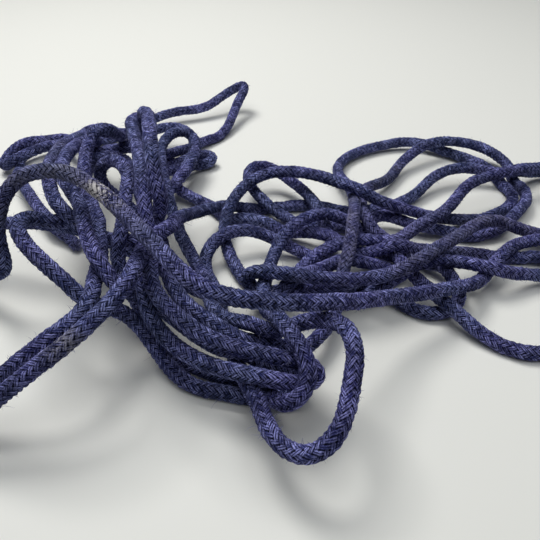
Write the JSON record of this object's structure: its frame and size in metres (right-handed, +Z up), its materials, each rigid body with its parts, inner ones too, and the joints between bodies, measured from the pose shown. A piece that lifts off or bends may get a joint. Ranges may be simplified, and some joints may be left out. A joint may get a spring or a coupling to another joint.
{
  "type": "braided cotton cord trim",
  "caption": "One long round braided cotton trim cord lying in a loose tangled heap, for edging, tying and lacing.",
  "frame": {"origin": "under the middle of the heap, on the surface that it lies on", "axes": "+X to the right along the heap's length, +Y to the back, +Z up"},
  "size_m": [0.3371, 0.2901, 0.0683],
  "materials": {
    "cotton": "matte braided cotton, navy to violet blue, with greyish worn stretches"
  },
  "bodies": {
    "root": {"cord": "cotton"}
  },
  "joints": []
}
